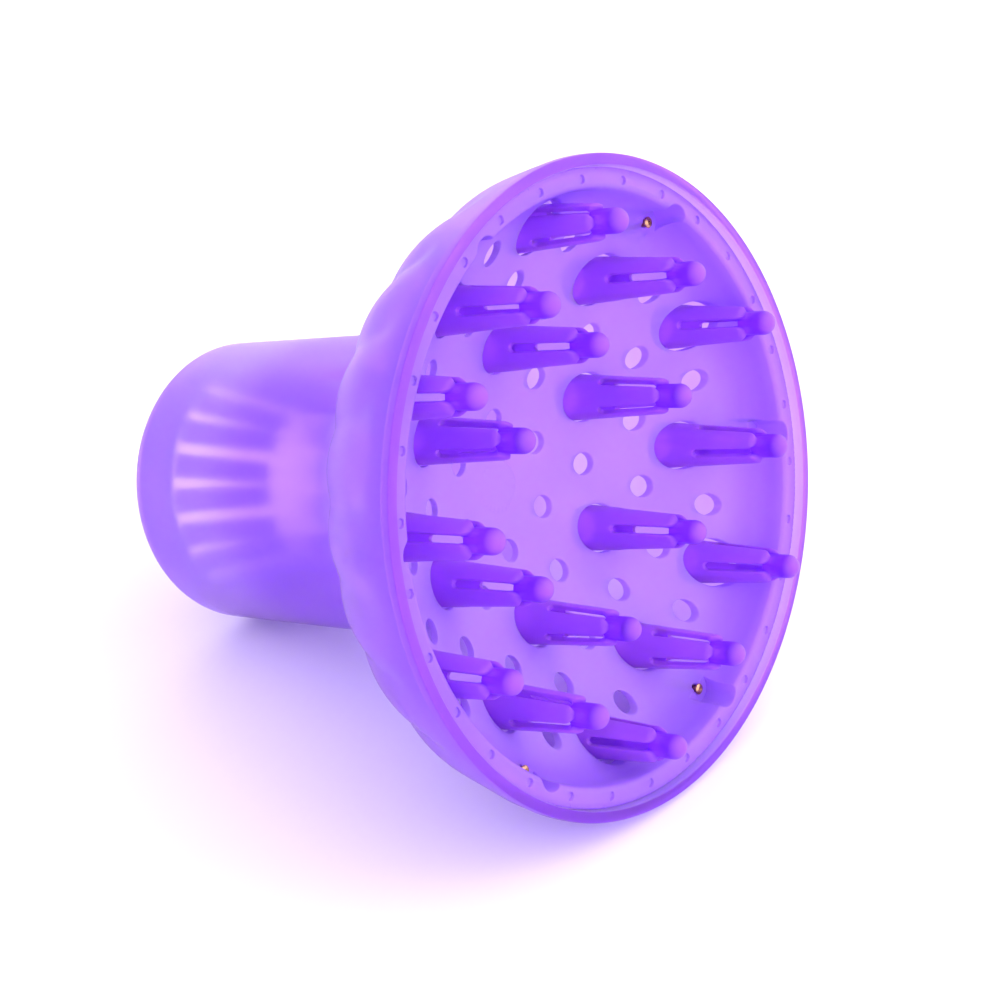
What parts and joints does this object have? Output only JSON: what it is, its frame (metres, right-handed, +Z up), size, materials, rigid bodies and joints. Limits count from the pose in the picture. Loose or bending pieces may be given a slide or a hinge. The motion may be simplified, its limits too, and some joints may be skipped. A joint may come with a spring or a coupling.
{
  "type": "dryer diffuser",
  "caption": "Bell-shaped diffuser that plugs onto a hair dryer nozzle and spreads its air through a dished, perforated plate with slotted hollow prongs.",
  "frame": {"origin": "middle of the footprint box, on the surface the diffuser lies on", "axes": "+Z up; the face with the prongs looks towards -Y and about 17.5 degrees up; +Y towards the neck; +X to the right of someone looking along +Y"},
  "size_m": [0.1644, 0.1786, 0.1587],
  "materials": {
    "shell": "satin, translucent violet",
    "plate": "satin, translucent violet",
    "prong": "satin, translucent deep violet",
    "sleeve": "soft, translucent violet",
    "screw": "polished"
  },
  "bodies": {
    "diffuser": {"bell_shell": "shell", "diffuser_plate": "plate", "inner_prong_1": "prong", "inner_prong_2": "prong", "inner_prong_3": "prong", "inner_prong_4": "prong", "inner_prong_5": "prong", "inner_prong_6": "prong", "middle_prong_1": "prong", "middle_prong_2": "prong", "middle_prong_3": "prong", "middle_prong_4": "prong", "middle_prong_5": "prong", "middle_prong_6": "prong", "outer_prong_1": "prong", "outer_prong_2": "prong", "outer_prong_3": "prong", "outer_prong_4": "prong", "outer_prong_5": "prong", "outer_prong_6": "prong", "plate_screw_1": "screw", "plate_screw_2": "screw", "plate_screw_3": "screw", "plate_screw_4": "screw", "plate_screw_5": "screw", "plate_screw_6": "screw", "grip_sleeve_ring": "sleeve"},
    "tongue_1": {"grip_tongue_1": "sleeve"},
    "tongue_2": {"grip_tongue_2": "sleeve"},
    "tongue_3": {"grip_tongue_3": "sleeve"},
    "tongue_4": {"grip_tongue_4": "sleeve"},
    "tongue_5": {"grip_tongue_5": "sleeve"},
    "tongue_6": {"grip_tongue_6": "sleeve"},
    "tongue_7": {"grip_tongue_7": "sleeve"},
    "tongue_8": {"grip_tongue_8": "sleeve"},
    "tongue_9": {"grip_tongue_9": "sleeve"},
    "tongue_10": {"grip_tongue_10": "sleeve"},
    "tongue_11": {"grip_tongue_11": "sleeve"},
    "tongue_12": {"grip_tongue_12": "sleeve"},
    "tongue_13": {"grip_tongue_13": "sleeve"},
    "tongue_14": {"grip_tongue_14": "sleeve"},
    "tongue_15": {"grip_tongue_15": "sleeve"},
    "tongue_16": {"grip_tongue_16": "sleeve"},
    "tongue_17": {"grip_tongue_17": "sleeve"},
    "tongue_18": {"grip_tongue_18": "sleeve"},
    "tongue_19": {"grip_tongue_19": "sleeve"},
    "tongue_20": {"grip_tongue_20": "sleeve"}
  },
  "joints": [
    {"name": "tongue_1_flex", "type": "hinge", "parent": "diffuser", "child": "tongue_1", "pos_m": [0.03216, 0.0682, 0.04408], "axis": [-0.1219, 0.298, 0.9468], "range_deg": [0, 12], "stiffness_Nm_per_rad": 0.05},
    {"name": "tongue_2_flex", "type": "hinge", "parent": "diffuser", "child": "tongue_2", "pos_m": [0.02936, 0.07112, 0.05338], "axis": [-0.4226, 0.2721, 0.8645], "range_deg": [0, 12], "stiffness_Nm_per_rad": 0.05},
    {"name": "tongue_3_flex", "type": "hinge", "parent": "diffuser", "child": "tongue_3", "pos_m": [0.0237, 0.07364, 0.06139], "axis": [-0.682, 0.2196, 0.6976], "range_deg": [0, 12], "stiffness_Nm_per_rad": 0.05},
    {"name": "tongue_4_flex", "type": "hinge", "parent": "diffuser", "child": "tongue_4", "pos_m": [0.01571, 0.07552, 0.06735], "axis": [-0.8746, 0.1456, 0.4624], "range_deg": [0, 12], "stiffness_Nm_per_rad": 0.05},
    {"name": "tongue_5_flex", "type": "hinge", "parent": "diffuser", "child": "tongue_5", "pos_m": [0.00618, 0.07656, 0.07065], "axis": [-0.9816, 0.0573, 0.182], "range_deg": [0, 12], "stiffness_Nm_per_rad": 0.05},
    {"name": "tongue_6_flex", "type": "hinge", "parent": "diffuser", "child": "tongue_6", "pos_m": [-0.00395, 0.07666, 0.07099], "axis": [-0.9925, -0.0366, -0.1162], "range_deg": [0, 12], "stiffness_Nm_per_rad": 0.05},
    {"name": "tongue_7_flex", "type": "hinge", "parent": "diffuser", "child": "tongue_7", "pos_m": [-0.01369, 0.07583, 0.06832], "axis": [-0.9063, -0.1269, -0.4031], "range_deg": [0, 12], "stiffness_Nm_per_rad": 0.05},
    {"name": "tongue_8_flex", "type": "hinge", "parent": "diffuser", "child": "tongue_8", "pos_m": [-0.0221, 0.07412, 0.06292], "axis": [-0.7314, -0.2048, -0.6505], "range_deg": [0, 12], "stiffness_Nm_per_rad": 0.05},
    {"name": "tongue_9_flex", "type": "hinge", "parent": "diffuser", "child": "tongue_9", "pos_m": [-0.02834, 0.07172, 0.0553], "axis": [-0.4848, -0.2626, -0.8343], "range_deg": [0, 12], "stiffness_Nm_per_rad": 0.05},
    {"name": "tongue_10_flex", "type": "hinge", "parent": "diffuser", "child": "tongue_10", "pos_m": [-0.0318, 0.06886, 0.04621], "axis": [-0.1908, -0.2947, -0.9363], "range_deg": [0, 12], "stiffness_Nm_per_rad": 0.05},
    {"name": "tongue_11_flex", "type": "hinge", "parent": "diffuser", "child": "tongue_11", "pos_m": [-0.03216, 0.06582, 0.03655], "axis": [0.1219, -0.298, -0.9468], "range_deg": [0, 12], "stiffness_Nm_per_rad": 0.05},
    {"name": "tongue_12_flex", "type": "hinge", "parent": "diffuser", "child": "tongue_12", "pos_m": [-0.02936, 0.0629, 0.02725], "axis": [0.4226, -0.2721, -0.8645], "range_deg": [0, 12], "stiffness_Nm_per_rad": 0.05},
    {"name": "tongue_13_flex", "type": "hinge", "parent": "diffuser", "child": "tongue_13", "pos_m": [-0.0237, 0.06037, 0.01924], "axis": [0.682, -0.2196, -0.6976], "range_deg": [0, 12], "stiffness_Nm_per_rad": 0.05},
    {"name": "tongue_14_flex", "type": "hinge", "parent": "diffuser", "child": "tongue_14", "pos_m": [-0.01571, 0.0585, 0.01328], "axis": [0.8746, -0.1456, -0.4624], "range_deg": [0, 12], "stiffness_Nm_per_rad": 0.05},
    {"name": "tongue_15_flex", "type": "hinge", "parent": "diffuser", "child": "tongue_15", "pos_m": [-0.00618, 0.05746, 0.00998], "axis": [0.9816, -0.0573, -0.182], "range_deg": [0, 12], "stiffness_Nm_per_rad": 0.05},
    {"name": "tongue_16_flex", "type": "hinge", "parent": "diffuser", "child": "tongue_16", "pos_m": [0.00395, 0.05735, 0.00964], "axis": [0.9925, 0.0366, 0.1162], "range_deg": [0, 12], "stiffness_Nm_per_rad": 0.05},
    {"name": "tongue_17_flex", "type": "hinge", "parent": "diffuser", "child": "tongue_17", "pos_m": [0.01369, 0.05819, 0.0123], "axis": [0.9063, 0.1269, 0.4031], "range_deg": [0, 12], "stiffness_Nm_per_rad": 0.05},
    {"name": "tongue_18_flex", "type": "hinge", "parent": "diffuser", "child": "tongue_18", "pos_m": [0.0221, 0.05989, 0.01771], "axis": [0.7314, 0.2048, 0.6505], "range_deg": [0, 12], "stiffness_Nm_per_rad": 0.05},
    {"name": "tongue_19_flex", "type": "hinge", "parent": "diffuser", "child": "tongue_19", "pos_m": [0.02834, 0.06229, 0.02533], "axis": [0.4848, 0.2626, 0.8343], "range_deg": [0, 12], "stiffness_Nm_per_rad": 0.05},
    {"name": "tongue_20_flex", "type": "hinge", "parent": "diffuser", "child": "tongue_20", "pos_m": [0.0318, 0.06515, 0.03442], "axis": [0.1908, 0.2947, 0.9363], "range_deg": [0, 12], "stiffness_Nm_per_rad": 0.05}
  ],
  "couplings": [
    {"joint": "tongue_2_flex", "follows": "tongue_1_flex", "ratio": 1},
    {"joint": "tongue_3_flex", "follows": "tongue_1_flex", "ratio": 1},
    {"joint": "tongue_4_flex", "follows": "tongue_1_flex", "ratio": 1},
    {"joint": "tongue_5_flex", "follows": "tongue_1_flex", "ratio": 1},
    {"joint": "tongue_6_flex", "follows": "tongue_1_flex", "ratio": 1},
    {"joint": "tongue_7_flex", "follows": "tongue_1_flex", "ratio": 1},
    {"joint": "tongue_8_flex", "follows": "tongue_1_flex", "ratio": 1},
    {"joint": "tongue_9_flex", "follows": "tongue_1_flex", "ratio": 1},
    {"joint": "tongue_10_flex", "follows": "tongue_1_flex", "ratio": 1},
    {"joint": "tongue_11_flex", "follows": "tongue_1_flex", "ratio": 1},
    {"joint": "tongue_12_flex", "follows": "tongue_1_flex", "ratio": 1},
    {"joint": "tongue_13_flex", "follows": "tongue_1_flex", "ratio": 1},
    {"joint": "tongue_14_flex", "follows": "tongue_1_flex", "ratio": 1},
    {"joint": "tongue_15_flex", "follows": "tongue_1_flex", "ratio": 1},
    {"joint": "tongue_16_flex", "follows": "tongue_1_flex", "ratio": 1},
    {"joint": "tongue_17_flex", "follows": "tongue_1_flex", "ratio": 1},
    {"joint": "tongue_18_flex", "follows": "tongue_1_flex", "ratio": 1},
    {"joint": "tongue_19_flex", "follows": "tongue_1_flex", "ratio": 1},
    {"joint": "tongue_20_flex", "follows": "tongue_1_flex", "ratio": 1}
  ]
}
